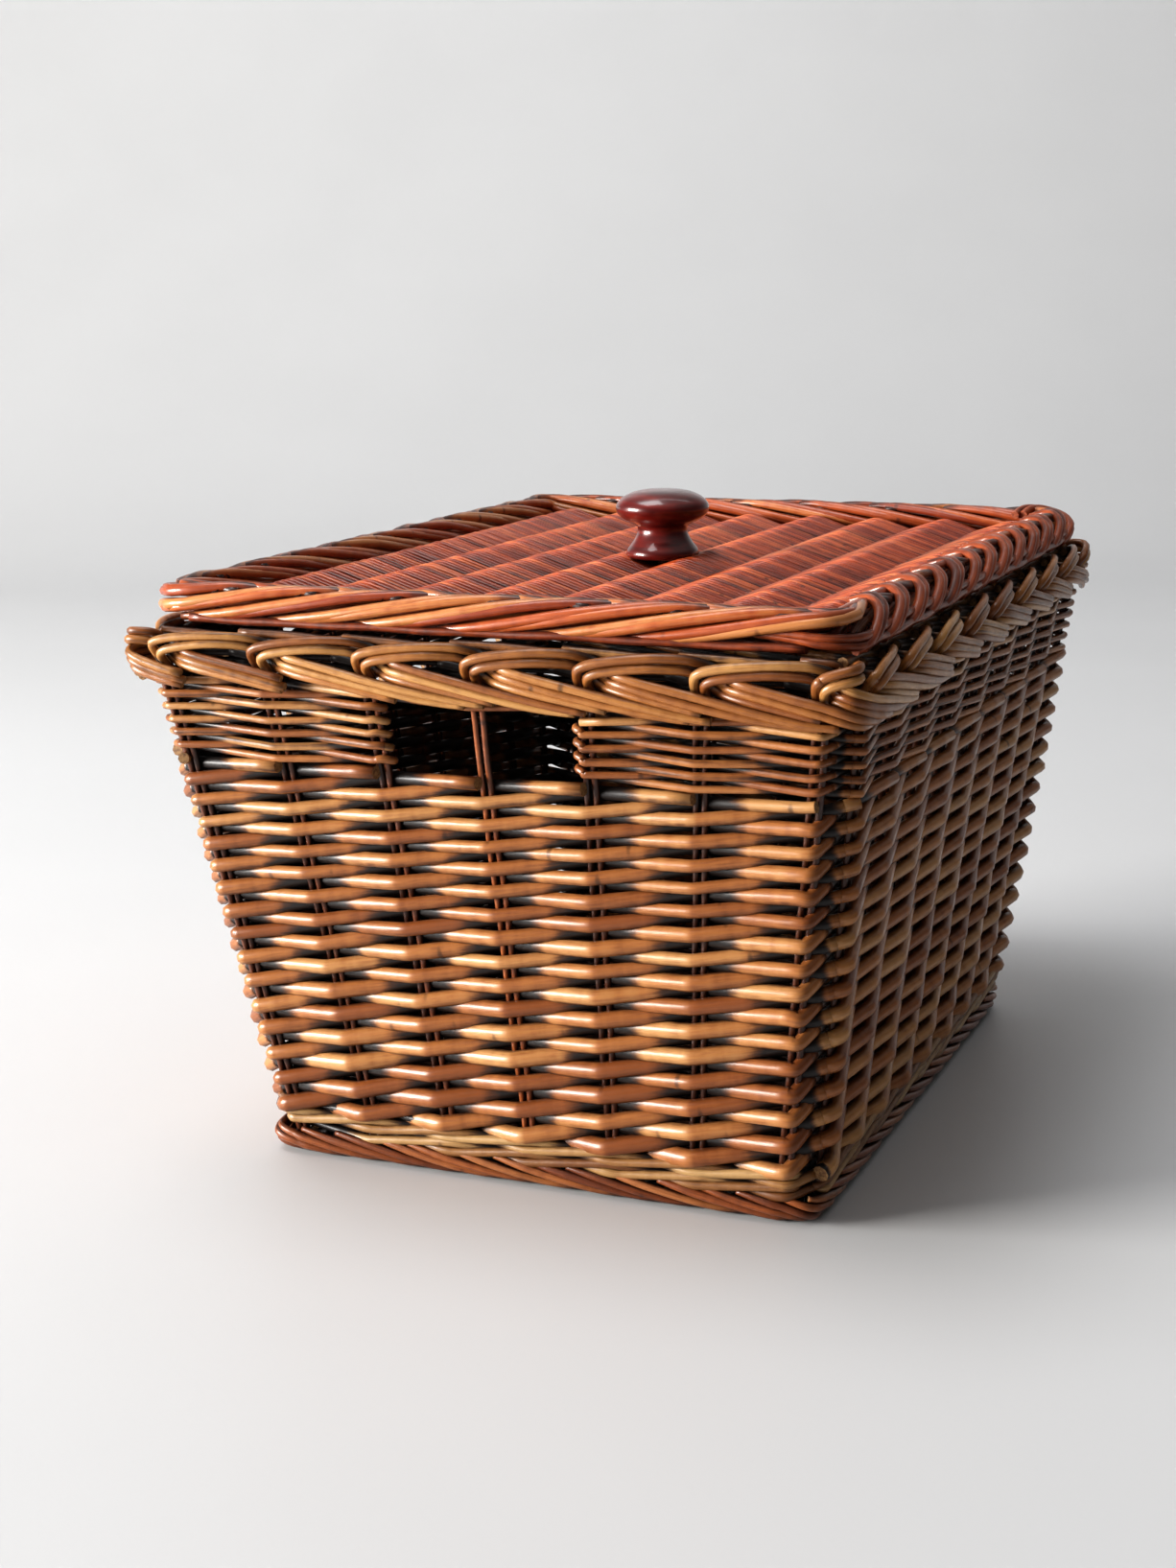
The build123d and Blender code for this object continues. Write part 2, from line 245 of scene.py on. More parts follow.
def make_piece(name, bundle, body, replaced, materials):
    """One mesh of all the rods of a bundle, riding on its body. materials are the rods' skin
    and their cut ends."""
    verts, quads, caps, stain_and_shade_rows, tones, grains = [], [], [], [], [], []
    start = 0
    for rings, stain_and_shade, tone, along in bundle.rods:
        count, sides = rings.shape[:2]
        verts.append(rings.reshape(-1, 3) * MM)
        tones.append(np.repeat(tone, sides))
        angle = np.tile(2 * math.pi * np.arange(sides) / sides, count)
        stain_and_shade = np.repeat(stain_and_shade, sides)
        # Along the lines where neighbours touch, each rod is darkened: partly gathered stain, partly painted shade.
        stain_and_shade_rows.append(stain_and_shade + bundle.touch_stain_and_shade * np.cos(angle - bundle.touching) ** 4 * (0.5 + stain_and_shade))
        grains.append(np.stack([np.repeat(along, sides), np.cos(angle), np.sin(angle)], -1))
        row = start + np.arange(count - 1)[:, None] * sides
        side = np.arange(sides)[None]
        turn = (side + 1) % sides
        around = (row + side, row + turn, row + sides + turn, row + sides + side)
        quads.append(np.stack(around, -1).reshape(-1, 4))
        caps.append(start + np.arange(sides)[::-1])
        caps.append(start + (count - 1) * sides + np.arange(sides))
        start += count * sides
    verts = np.concatenate(verts)
    quads = np.concatenate(quads)
    loops = np.concatenate([quads.ravel()] + caps)
    totals = np.concatenate([np.full(len(quads), 4), [len(c) for c in caps]])
    starts = np.concatenate([[0], np.cumsum(totals)[:-1]])
    is_cap = np.arange(len(totals)) >= len(quads)
    mesh = bpy.data.meshes.new(name)
    mesh.vertices.add(len(verts))
    mesh.vertices.foreach_set("co", verts.astype(np.float32).ravel())
    mesh.loops.add(len(loops))
    mesh.loops.foreach_set("vertex_index", loops.astype(np.int32))
    mesh.polygons.add(len(totals))
    mesh.polygons.foreach_set("loop_start", starts.astype(np.int32))
    mesh.polygons.foreach_set("loop_total", totals.astype(np.int32))
    mesh.update(calc_edges=True)
    mesh.polygons.foreach_set("use_smooth", ~is_cap)
    mesh.polygons.foreach_set("material_index", is_cap.astype(np.int32))
    for label, values in (("stain_and_shade", stain_and_shade_rows), ("tone", tones)):
        data = mesh.attributes.new(label, "FLOAT", "POINT").data
        data.foreach_set("value", np.concatenate(values).astype(np.float32))
    grain = mesh.attributes.new("grain", "FLOAT_VECTOR", "POINT")
    grain.data.foreach_set("vector", np.concatenate(grains).astype(np.float32).ravel())
    mesh.validate()
    for material in materials:
        mesh.materials.append(material)
    piece = bpy.data.objects.new(name, mesh)
    bpy.context.scene.collection.objects.link(piece)
    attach(piece, body)
    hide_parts(*replaced)
    return piece


# ---- Materials ----
def new_material(name):
    material = bpy.data.materials.new(name)
    material.use_nodes = True
    tree = material.node_tree
    return material, tree, tree.nodes["Principled BSDF"]


def node(tree, kind, source=None, **values):
    """A node with input sockets set by name, and its first or Vector socket fed from source."""
    made = tree.nodes.new("ShaderNode" + kind)
    for key, value in values.items():
        made.inputs[key.replace("_", " ")].default_value = value
    if source is not None:
        tree.links.new(source, made.inputs["Vector"] if "Vector" in made.inputs else made.inputs[0])
    return made


def attribute(tree, name, output="Fac"):
    made = tree.nodes.new("ShaderNodeAttribute")
    made.attribute_name = name
    return made.outputs[output]


def stretched(tree, source, factors):
    """source with each axis multiplied by a factor."""
    made = tree.nodes.new("ShaderNodeVectorMath")
    made.operation = "MULTIPLY"
    made.inputs[1].default_value = factors
    tree.links.new(source, made.inputs[0])
    return made.outputs[0]


def ramp(tree, source, stops):
    """A colour ramp driven by source, with (place, colour or grey) stops."""
    made = tree.nodes.new("ShaderNodeValToRGB")
    elements = made.color_ramp.elements
    while len(elements) < len(stops):
        elements.new(0.5)
    for element, (place, colour) in zip(elements, stops):
        element.position = place
        element.color = (*colour, 1) if isinstance(colour, tuple) else (colour, colour, colour, 1)
    tree.links.new(source, made.inputs[0])
    return made.outputs[0]


def arithmetic(tree, operation, *sources, clamp=False):
    made = tree.nodes.new("ShaderNodeMath")
    made.operation = operation
    made.use_clamp = clamp
    for socket, source in zip(made.inputs, sources):
        if isinstance(source, (int, float)):
            socket.default_value = source
        else:
            tree.links.new(source, socket)
    return made.outputs[0]


def blend_colours(tree, factor, first, second):
    made = tree.nodes.new("ShaderNodeMix")
    made.data_type = "RGBA"
    for socket, source in zip((made.inputs[0], made.inputs[6], made.inputs[7]), (factor, first, second)):
        if isinstance(source, tuple):
            socket.default_value = (*source, 1)
        else:
            tree.links.new(source, socket)
    return made.outputs[2]


def willow(name, light, middle, deep, dark, roughness=0.34, coat=0.16, coat_roughness=0.2):
    """Stained and varnished willow: rods differ in tone, have streaks along the grain and small
    knots, and they are nearly black where stain has gathered between the rods and where painted shade is laid on them."""
    material, tree, shader = new_material(name)
    grain = attribute(tree, "grain", "Vector")
    streaks = node(tree, "TexNoise", stretched(tree, grain, (0.045, 1.6, 1.6)), Scale=1.7, Detail=5.0, Roughness=0.62)
    mottle = node(tree, "TexNoise", grain, Scale=0.16, Detail=3.0, Roughness=0.5)
    tone = arithmetic(tree, "MULTIPLY_ADD", streaks.outputs[0], 0.55, attribute(tree, "tone"))
    tone = arithmetic(tree, "MULTIPLY_ADD", mottle.outputs[0], 0.45, tone)
    tone = arithmetic(tree, "SUBTRACT", tone, 0.5, clamp=True)
    colour = ramp(tree, tone, [(0.05, light), (0.5, middle), (1.0, deep)])
    # The darkness attribute holds stain and painted shade together; with streaks and mottle it turns a rod deeper
    # brown and then near black.
    stain_and_shade = arithmetic(tree, "MULTIPLY_ADD", streaks.outputs[0], 0.6, attribute(tree, "stain_and_shade"))
    stain_and_shade = arithmetic(tree, "MULTIPLY_ADD", mottle.outputs[0], 0.4, stain_and_shade)
    stain_and_shade = arithmetic(tree, "SUBTRACT", stain_and_shade, 0.5)
    deep_stain_and_shade = tuple(0.45 * c for c in deep)
    colour = blend_colours(tree, ramp(tree, stain_and_shade, [(0.02, 0.0), (0.5, 0.85)]), colour, deep_stain_and_shade)
    colour = blend_colours(tree, ramp(tree, stain_and_shade, [(0.25, 0.0), (0.75, 1.0)]), colour, dark)
    spots = node(tree, "TexVoronoi", grain, Scale=0.09)
    spot = ramp(tree, spots.outputs["Distance"], [(0.0, 0.75), (0.08, 0.5), (0.14, 0.0)])
    colour = blend_colours(tree, spot, colour, dark)
    tree.links.new(colour, shader.inputs["Base Color"])
    rough = arithmetic(tree, "MULTIPLY_ADD", streaks.outputs[0], 0.3, roughness - 0.15)
    rough = arithmetic(tree, "MULTIPLY_ADD", attribute(tree, "stain_and_shade"), 0.15, rough)
    tree.links.new(rough, shader.inputs["Roughness"])
    shader.inputs["Specular IOR Level"].default_value = 0.38
    shader.inputs["Coat Weight"].default_value = coat
    shader.inputs["Coat Roughness"].default_value = coat_roughness
    bump = node(tree, "Bump", Strength=0.4, Distance=0.0004)
    tree.links.new(streaks.outputs[0], bump.inputs["Height"])
    tree.links.new(bump.outputs[0], shader.inputs["Normal"])
    return material


def object_noise(tree, factors, detail):
    place = tree.nodes.new("ShaderNodeTexCoord").outputs["Object"]
    return node(tree, "TexNoise", stretched(tree, place, factors), Scale=1.0, Detail=detail).outputs[0]


def cut_wood(name, light, ring):
    """Trimmed rod ends: pale wood round a darker pith."""
    material, tree, shader = new_material(name)
    grainy = object_noise(tree, (900, 900, 900), 3.0)
    tree.links.new(ramp(tree, grainy, [(0.3, ring), (0.62, light)]), shader.inputs["Base Color"])
    shader.inputs["Roughness"].default_value = 0.7
    return material


def plain_willow(name, light, deep):
    """Straight willow sticks that run along Y."""
    material, tree, shader = new_material(name)
    streaks = object_noise(tree, (900, 40, 900), 5.0)
    tree.links.new(ramp(tree, streaks, [(0.3, deep), (0.7, light)]), shader.inputs["Base Color"])
    bump = node(tree, "Bump", Strength=0.3, Distance=0.0004)
    tree.links.new(streaks, bump.inputs["Height"])
    tree.links.new(bump.outputs[0], shader.inputs["Normal"])
    shader.inputs["Roughness"].default_value = 0.4
    shader.inputs["Coat Weight"].default_value = 0.3
    return material


def lacquer():
    """Dark cherry lacquer over turned wood."""
    material, tree, shader = new_material("cherry_lacquer")
    figure = object_noise(tree, (60, 60, 420), 4.0)
    stops = [(0.3, (0.05, 0.003, 0.003)), (0.55, (0.12, 0.007, 0.005)), (0.75, (0.2, 0.018, 0.01))]
    tree.links.new(ramp(tree, figure, stops), shader.inputs["Base Color"])
    shader.inputs["Roughness"].default_value = 0.3
    shader.inputs["Coat Weight"].default_value = 0.7
    shader.inputs["Coat Roughness"].default_value = 0.09
    return material


def steel():
    material, tree, shader = new_material("zinc_steel")
    cloud = object_noise(tree, (900, 900, 900), 2.0)
    stops = [(0.3, (0.45, 0.45, 0.43)), (0.7, (0.62, 0.62, 0.6))]
    tree.links.new(ramp(tree, cloud, stops), shader.inputs["Base Color"])
    shader.inputs["Metallic"].default_value = 1.0
    shader.inputs["Roughness"].default_value = 0.35
    return material


BLACK = (0.010, 0.006, 0.005)
RED_BLACK = (0.030, 0.009, 0.006)
weave_willow = willow("weave_willow", (0.46, 0.235, 0.088), (0.37, 0.145, 0.045), (0.22, 0.068, 0.020), BLACK)
border_willow = willow("border_willow", (0.46, 0.235, 0.080), (0.35, 0.140, 0.038), (0.20, 0.064, 0.017), BLACK)
stake_willow = willow("stake_willow", (0.15, 0.045, 0.018), (0.08, 0.024, 0.010), (0.04, 0.012, 0.006), BLACK)
middle_willow = willow("middle_willow", (0.50, 0.17, 0.055), (0.38, 0.11, 0.032), (0.22, 0.06, 0.018), BLACK)
foot_willow = willow("foot_willow", (0.34, 0.125, 0.040), (0.25, 0.070, 0.019), (0.13, 0.032, 0.010), BLACK)
waling_willow = willow("waling_willow", (0.40, 0.24, 0.10), (0.28, 0.135, 0.046), (0.15, 0.056, 0.018), BLACK)
base_willow = willow("base_willow", (0.20, 0.08, 0.03), (0.12, 0.045, 0.02), (0.06, 0.02, 0.01), BLACK)
LID_GLOSS = {"roughness": 0.36, "coat": 0.35, "coat_roughness": 0.1}
lid_willow = willow("lid_willow", (0.74, 0.18, 0.050), (0.58, 0.095, 0.021), (0.30, 0.038, 0.010), RED_BLACK, **LID_GLOSS)
edge_willow = willow("edge_willow", (0.50, 0.20, 0.066), (0.40, 0.088, 0.023), (0.22, 0.036, 0.012), RED_BLACK, **LID_GLOSS)
honey_cut = cut_wood("honey_cut", (0.32, 0.18, 0.07), (0.12, 0.05, 0.02))
red_cut = cut_wood("red_cut", (0.38, 0.10, 0.04), (0.17, 0.04, 0.02))


# ---- Weave of the walls ----
def weave_rows(stakes, sides, heights, reach):
    """Control rows of a weaver: x, y, z, how far out it lies from -1 to 1, and its stake. It
    bends once at each pair of stakes, and twice where a pair stands in a corner."""
    turns = 1 + np.isin(stakes % STAKES, LAST_IN_WALL)
    place = np.repeat(np.arange(len(stakes)), turns)
    along = np.where(np.diff(place, prepend=-1) > 0, -PAIR_HALF, PAIR_HALF)
    index, side = stakes[place], sides[place]
    height = np.broadcast_to(heights, len(stakes))[place]
    height = height + chance.normal(0, 0.3, len(place)) - SAG * side
    out = side * (np.broadcast_to(reach, len(stakes))[place] + 0.4) + chance.normal(0, 0.15, len(place))
    return np.column_stack([beside(index, along, out, height), side, index])


def split_to_walls(path, radii, stain_and_shade, tone, bundles):
    """Adds a rod that runs round the basket to the walls that it passes, cut halfway round
    each corner. The path's last column is its stake."""
    points, u = path[:, :3], path[:, -1]
    rings = sweep(points, radii, 8)
    wall = wall_of(np.floor(u + 0.49).astype(int))
    edges = [0] + [i for i in range(1, len(u)) if wall[i] != wall[i - 1]] + [len(u) - 1]
    for first, last in zip(edges, edges[1:]):
        part = slice(first, last + 1)
        if last > first:
            bundles[WALLS[wall[first]]].add(points[part], radii[part], stain_and_shade[part], tone[part], rings=rings[part])


def add_weaver(rows, butt, tip, bundles):
    """A weaver through control rows, from its butt to its tip. It is darkest inside the wall, partly
    from stain and partly from painted shade, and its limb that goes in is painted browner and its limb that comes out
    paler: painted shade and painted light."""
    path = kinked(rows, 2.2)
    side = path[:, 3]
    entering = np.gradient(side) < -0.02
    stain_and_shade = smooth_step((np.where(entering, -0.1, -0.05) - side) / np.where(entering, 0.6, 0.5))
    tone = chance.random() + np.where(entering, 0.2, -0.1) * smooth_step((1.02 - side) / 0.1)
    radii = np.linspace(butt, tip, len(side)) * (1 + waviness(path[:, 4], 0.06))
    split_to_walls(path, radii, stain_and_shade, tone, bundles)


# Below the finger holes the wall is a French rand: one rod starts at each stake, and all of
# them climb to the right by one level at every stake, outside one stake and inside the next.
weave = {wall: Bundle() for wall in WALLS}
HOLE_Z = hole_low[2]
COARSE, CLOSE = 6.5, 4.7  # rise per stake just above the waling and just below the finger holes
PLUMP = 0.60  # radius of a weaver, in rises per stake
SAG = 0.8  # how much lower a rod lies outside a stake, and higher inside
levels = [waling_high[2] + 1.6]
while levels[-1] < HOLE_Z - CLOSE:
    grade = (levels[-1] - waling_high[2]) / (HOLE_Z - waling_high[2])
    levels.append(levels[-1] + COARSE + (CLOSE - COARSE) * grade)
levels = np.array(levels)
for start in range(STAKES):
    plump = PLUMP * chance.uniform(0.93, 1.07)
    stakes = start + np.arange(len(levels))
    sides = np.where(np.arange(len(levels)) % 2 == 0, 1.0, -1.0)
    reach = 0.8 * (STAKE_R + np.linspace(plump * COARSE, plump * CLOSE, len(levels)))
    rows = weave_rows(stakes, sides, levels, reach)
    behind = 2 * rows[:1] - rows[1:2]
    behind[0, :3] = beside(np.array([start - 1]), 14.0, -reach[0], levels[0] - 3)[0]
    behind[0, 3:] = (-0.6, start - 0.6)
    add_weaver(np.vstack([behind, rows]), plump * COARSE, plump * CLOSE, weave)
row, row_z = len(levels), levels[-1] + 0.75 * CLOSE

FINE = 2.9  # row pitch beside the finger holes
FINE_R = 1.72
fine_rows = int((hole_high[2] - row_z) / FINE) + 1


def fine_weave(low, high):
    """A thin weaver that goes to and fro between two finger holes."""
    reach = STAKE_R + FINE_R
    stakes = np.arange(low, high + 1)
    path = []
    for index in range(fine_rows):
        forward = index % 2 == 0
        z = row_z + FINE * index
        sides = np.where((stakes + row + index) % 2 == 0, 1.0, -1.0)
        rows = weave_rows(stakes, sides, z, reach)[:: 1 if forward else -1]
        path.append(rows)
        if index < fine_rows - 1:
            end, way = (high, 1) if forward else (low, -1)
            side = 1 if (end + row + index) % 2 == 0 else -1
            along = way * np.array((0.3, 1.0, 1.0, 0.3)) * (PAIR_HALF + reach)
            out = side * reach * np.array((0.95, 0.4, -0.4, -0.95))
            heights = z + FINE * np.array((0.1, 0.4, 0.6, 0.9))
            turn = beside(np.full(4, end), along, out, heights)
            path.append(np.column_stack([turn, side * np.array((0.95, 0.4, -0.4, -0.95)), np.full(4, end)]))
    path = kinked(np.vstack(path), 1.6)
    side = path[:, 3]
    rod = np.arange(len(side)) * fine_rows // len(side)
    tone = chance.random(fine_rows)[rod]
    radii = FINE_R * (1 + waviness(path[:, 4] + rod, 0.06))
    # Darker where the weaver lies inside the wall: partly stain, partly painted shade.
    split_to_walls(path, radii, smooth_step((0.15 - side) / 0.75), tone, weave)


for low, high in HOLE_EDGES:
    fine_weave(low, high)

top_z = row_z + FINE * fine_rows
for index in range(2):
    stakes = chance.integers(0, STAKES) + np.arange(STAKES + 1)
    sides = np.where((stakes + row + fine_rows + index) % 2 == 0, 1.0, -1.0)
    rows = weave_rows(stakes, sides, top_z + FINE * index, STAKE_R + FINE_R)
    add_weaver(rows, FINE_R, FINE_R, weave)

REPLACED_WEAVE = {
    "front": ("front_weave", "front_upper_weave_left", "front_upper_weave_right"),
    "right": ("right_weave",),
    "rear": ("rear_weave", "rear_upper_weave_left", "rear_upper_weave_right"),
    "left": ("left_weave",),
}
for wall in WALLS:
    skins = (weave_willow, honey_cut)
    make_piece(f"{wall}_weavers", weave[wall], "basket", REPLACED_WEAVE[wall], skins)


# ---- Stakes ----
STAKE_TOP = CREST - 16
for wall, first, count in zip(WALLS, WALL_FIRST, PAIRS_IN_WALL):
    groups = {"": Bundle(), "_middle": Bundle()}
    for index in range(first, first + count):
        middle = wall in ("front", "rear") and index == first + END_PAIRS // 2
        for side in (-1, 1):
            z = np.linspace(STAKE_Z[0], STAKE_TOP, 26)
            points = beside(np.array([index]), side * PAIR_HALF + waviness(z / 30, 0.3), waviness(z / 25, 0.3), z)
            radius = STAKE_R * chance.uniform(0.95, 1.08) * np.linspace(1.05, 0.95, len(z))
            groups["_middle" if middle else ""].add(points, radius, 0.25 * chance.random())
    for label, bundle in groups.items():
        if bundle.rods:
            skins = (middle_willow if label else stake_willow, honey_cut)
            make_piece(f"{wall}{label}_uprights", bundle, "basket", (f"{wall}{label}_stakes",), skins)


# ---- Top border ----
# The stakes of a pair hook over the crest and run to the right, dive behind the next pair and
# come out below its hooks to run down the outside, with a third rod beside them. A fourth and a
# fifth rod cross the inside. Rows are (stakes along, out of the wall, below the crest).
BORDER_RODS = {
    "upper_hook": (
        (0.0, 0.0, -24), (0.0, 0.5, -16), (0.0, 2.8, -11.0), (0.015, 4.5, -8.3), (0.05, 5.2, -6.5), (0.13, 5.3, -5.0),
        (0.32, 4.7, -3.3), (0.6, 3.2, -2.1), (0.86, 0.2, -2.2), (0.98, -2.4, -3.4), (1.08, -4.6, -5.2),
        (1.19, -2.8, -7.4), (1.3, 2.6, -8.8), (1.46, 6.2, -10.4), (2.0, 7.6, -15.8), (2.5, 7.9, -20.6),
        (3.0, 6.8, -24.4), (3.4, 5.4, -25.8),
    ),
    "lower_hook": (
        (0.09, 0.0, -24), (0.09, 0.5, -18), (0.09, 3.0, -14.0), (0.1, 4.9, -11.6), (0.135, 5.9, -9.9), (0.22, 6.2, -8.4),
        (0.42, 5.6, -6.8), (0.64, 4.2, -5.8), (0.86, 0.8, -6.2), (0.97, -1.6, -7.4), (1.07, -3.8, -9.2),
        (1.18, -1.4, -11.2), (1.3, 3.4, -12.4), (1.48, 6.6, -13.8), (2.0, 7.8, -18.9), (2.5, 7.6, -23.2),
        (2.8, 6.4, -25.2), (3.1, 5.2, -26.2),
    ),
    "beside": (
        (0.7, -4.0, -9.5), (1.0, -4.6, -12.5), (1.17, -1.0, -14.6), (1.32, 3.8, -15.9), (1.55, 6.4, -17.5),
        (2.0, 7.3, -21.4), (2.45, 7.0, -25.2),
    ),
    "inner_upper": ((-0.1, -5.2, -5.0), (0.4, -6.0, -7.0), (1.0, -6.6, -12.0), (1.7, -6.2, -19.0), (2.0, -5.6, -22.5)),
    "inner_band": ((-0.1, -5.4, -9.6), (0.4, -5.8, -10.0), (0.8, -5.8, -9.8), (1.2, -5.4, -10.2)),
    "inner_low_band": ((0.0, -5.0, -14.2), (0.4, -5.4, -14.6), (0.8, -5.4, -14.4), (1.2, -5.0, -14.8)),
    "inner_crest": ((-0.2, -7.4, -1.9), (0.3, -8.0, -2.6), (0.8, -8.4, -4.4), (1.3, -8.8, -7.4), (1.6, -8.8, -9.8)),
    "inner_lower": ((0.3, -5.4, -4.6), (0.8, -6.2, -8.2), (1.4, -6.6, -14.5), (1.9, -6.2, -20.0), (2.2, -5.6, -23.5)),
}
BORDER_R = 2.05
SIDE_TRIM = 2.35  # on the long sides the rods are cut off together, this far along
for wall, first, count in zip(WALLS, WALL_FIRST, PAIRS_IN_WALL):
    bundle = Bundle()
    for index in range(first, first + count):
        for shape in BORDER_RODS.values():
            path = spread(shape)
            if wall in ("left", "right"):
                path = path[path[:, 0] < SIDE_TRIM + chance.uniform(-0.04, 0.04)]
            else:
                path = path[: len(path) - chance.integers(0, 5)]
            u = index - PAIR_HALF / 45 + path[:, 0]
            v = path[:, 1] + waviness(u, 0.3)
            z = CREST + path[:, 2] + waviness(u, 0.35)
            radius = BORDER_R * chance.uniform(0.9, 1.08) * np.linspace(1.04, 0.92, len(u))
            # Painted shade: rods on the inside of the wall are darker, more so the further they lie below the crest.
            depth = np.clip((CREST - z - 2) / 6, 0.3, 1)
            bundle.add(wall_points(u, v, z), radius, 0.85 * depth * smooth_step((0.5 - v) / 5))
    skins = (border_willow, honey_cut)
    make_piece(f"{wall}_plaited_border", bundle, "basket", (f"{wall}_top_border",), skins)


# ---- Waling: three weavers, each over two stakes and under the third, rising as they go ----
WALING_R = 2.15
WALE_LAPS, WALE_PITCH, WALE_RISE = 2, 6.0, 4.4
waling = {wall: Bundle() for wall in WALLS}
for strand in range(3):
    stakes = range(strand, strand + WALE_LAPS * STAKES + 1)
    index = np.repeat(np.array(stakes), 2)
    along = np.tile((-PAIR_HALF - 1, PAIR_HALF + 1), len(stakes))
    phase = (index - strand) % 3
    side = np.where(phase == 0, -1.0, 1.0)
    rise = np.select([phase == 1, phase == 2], [-0.5, 0.5], 0.0) + 0.02 * along
    z = waling_low[2] + 3.4 + WALE_PITCH * (index - strand) / STAKES + WALE_RISE * rise
    z = z + chance.normal(0, 0.25, len(z))
    rows = np.column_stack([beside(index, along, side * 0.95 * (STAKE_R + WALING_R), z), side, index])
    path = kinked(rows, 4.0)
    side = path[:, 3]
    radii = WALING_R * (1 + waviness(path[:, 4], 0.07))
    tone = chance.random() + 0.3 * np.sin(path[:, 4] / 3)
    # Darker where the weaver lies inside the wall: partly stain, partly painted shade.
    split_to_walls(path, radii, smooth_step((0.85 - side) / 1.1), tone, waling)
for wall in WALLS:
    skins = (waling_willow, honey_cut)
    make_piece(f"{wall}_wale", waling[wall], "basket", (f"{wall}_waling",), skins)


# ---- Foot border: rods that start under the waling, run down to the right and turn under ----
FOOT_ROD = (
    (0.0, 3.2, 12.6), (0.25, 4.6, 10.9), (0.6, 5.2, 8.2), (1.0, 4.8, 5.2), (1.3, 3.2, 3.3), (1.6, 0.4, 2.3),
    (2.0, -4.0, 2.3), (2.4, -8.0, 4.4), (2.7, -9.5, 7.6),
)
FOOT_R = 2.0
for wall, first, count in zip(WALLS, WALL_FIRST, PAIRS_IN_WALL):
    bundle = Bundle()
    for index in np.arange(first, first + count, 0.5):
        path = spread(FOOT_ROD)
        u = index + path[:, 0] + chance.uniform(-0.06, 0.06)
        z = np.maximum(path[:, 2] + waviness(u, 0.3), FOOT_R * 1.06)
        v = path[:, 1]
        radius = FOOT_R * chance.uniform(0.92, 1.05) * np.interp(path[:, 0], (0, 0.4, 3), (0.7, 1, 0.9))
        # Painted shade darkens the rods where they tuck under the waling and turn in under the basket, over a small
        # random stain.
        bundle.add(wall_points(u, v, z), radius, 0.8 * smooth_step((4.2 - v) / 6) + 0.12 * chance.random())
    skins = (foot_willow, honey_cut)
    make_piece(f"{wall}_foot_rods", bundle, "basket", (f"{wall}_foot_border",), skins)


# ---- Flat panels: rods across sticks, over one and under the next ----
def panel(low, high, stick_x, stick_z, rise, rod_radius, pitch, tuck, end_margin):
    """Rods of a woven panel between low and high, running along X. rise is how far their
    middles go above and below the sticks' middles."""
    bundle = Bundle(0.4, math.pi / 2)
    rows = int((high[1] - low[1]) / pitch)
    ends = (low[0] - tuck, high[0] + tuck)
    for row in range(rows):
        y = low[1] + (row + 0.5) * pitch
        x = np.concatenate([ends[:1], stick_x, ends[1:]])
        side = np.where((np.arange(len(x)) + row) % 2 == 0, 1.0, -1.0)
        height = side * rise
        height[[0, -1]] *= end_margin
        y = y + chance.normal(0, 0.25, len(x))
        path = kinked(np.column_stack([x, y, stick_z + height, side]), 3.0)
        side = path[:, 3]
        leaving = np.gradient(side) < -0.01
        # Painted shade and light: the limb that goes down is painted browner and the one that comes up paler.
        tone = chance.random() + np.where(leaving, 0.2, -0.1)
        radius = rod_radius * chance.uniform(0.8, 1.12)
        # Painted shade darkens the rods in the valleys and where they pass under the sticks; a random stain is added
        # per rod.
        stain_and_shade = 0.3 * smooth_step((0.7 - side) / 1.35) + 0.25 * chance.random() ** 4
        bundle.add(path[:, :3], radius, stain_and_shade, tone, sides=6)
    return bundle


def stick_places(low, high, count):
    """X of sticks whose outermost ones touch low and high."""
    radius = (high[2] - low[2]) / 2
    return np.linspace(low[0] + radius, high[0] - radius, count)


LID_ROD_R, LID_ROD_PITCH = 1.45, 2.3
lid_stick_x = stick_places(lid_sticks_low, lid_sticks_high, 8)
lid_stick_z = (lid_sticks_low[2] + lid_sticks_high[2]) / 2
lid_rise = (panel_high[2] - panel_low[2]) / 2 - LID_ROD_R + 2.6
lid_panel = panel(panel_low, panel_high, lid_stick_x, lid_stick_z, lid_rise, LID_ROD_R, LID_ROD_PITCH, 4.0, 0.3)
make_piece("lid_weavers", lid_panel, "lid", ("lid_weave",), (lid_willow, red_cut))

BASE_ROD_R, BASE_ROD_PITCH = 2.0, 4.1
base_stick_x = stick_places(base_sticks_low, base_sticks_high, 6)
base_stick_z = (base_sticks_low[2] + base_sticks_high[2]) / 2
base_rise = (base_high[2] - base_low[2]) / 2 - BASE_ROD_R + 0.8
base_panel = panel(base_low, base_high, base_stick_x, base_stick_z, base_rise, BASE_ROD_R, BASE_ROD_PITCH, 3.0, 0.3)
make_piece("base_weavers", base_panel, "basket", ("base_weave",), (base_willow, honey_cut))


# ---- Lid edge: rods wound up and over the edge from both sides, round the whole lid ----
EDGE_R = 2.0
EDGE_X = (lid_right_low[0] + lid_right_high[0]) / 2
EDGE_Y = -(lid_front_low[1] + lid_front_high[1]) / 2
EDGE_ROUND = 9.0
EDGE_HALF = (lid_front_high[1] - lid_front_low[1]) / 2 - EDGE_R
EDGE_Z = lid_front_low[2] + EDGE_HALF + EDGE_R
STRAIGHT_X, STRAIGHT_Y = 2 * (EDGE_X - EDGE_ROUND), 2 * (EDGE_Y - EDGE_ROUND)
BEND = math.pi / 2 * EDGE_ROUND
LAP = 2 * (STRAIGHT_X + STRAIGHT_Y) + 4 * BEND
STRETCHES = (STRAIGHT_X, BEND, STRAIGHT_Y, BEND) * 2
EDGE_CORNERS = ((1, -1), (1, 1), (-1, 1), (-1, -1))


